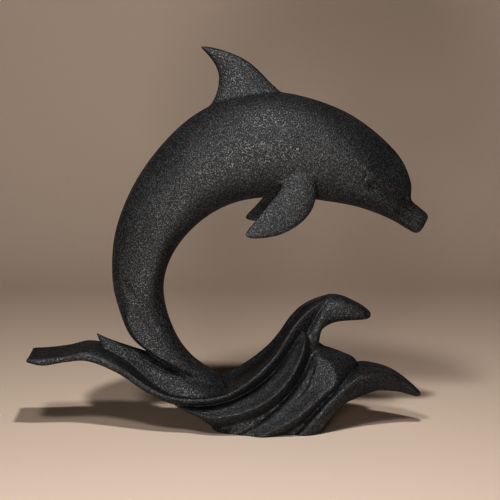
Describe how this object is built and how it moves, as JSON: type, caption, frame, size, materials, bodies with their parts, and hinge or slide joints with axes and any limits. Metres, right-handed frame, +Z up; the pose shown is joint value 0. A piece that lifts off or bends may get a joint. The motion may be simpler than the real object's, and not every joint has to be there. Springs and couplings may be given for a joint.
{
  "type": "dolphin statue",
  "caption": "Black cast statuette of a dolphin leaping in an arc over a folded breaking wave, standing on a small flat foot.",
  "frame": {"origin": "centre of the foot's standing face, on the floor", "axes": "+X towards the beak, +Z up, Y across the statue, which is the same on both sides"},
  "size_m": [0.24, 0.0681, 0.2299],
  "materials": {
    "black_cast_resin": "matte with a fine sandy grain"
  },
  "bodies": {
    "root": {"dolphin_statue": "black_cast_resin"}
  },
  "joints": []
}
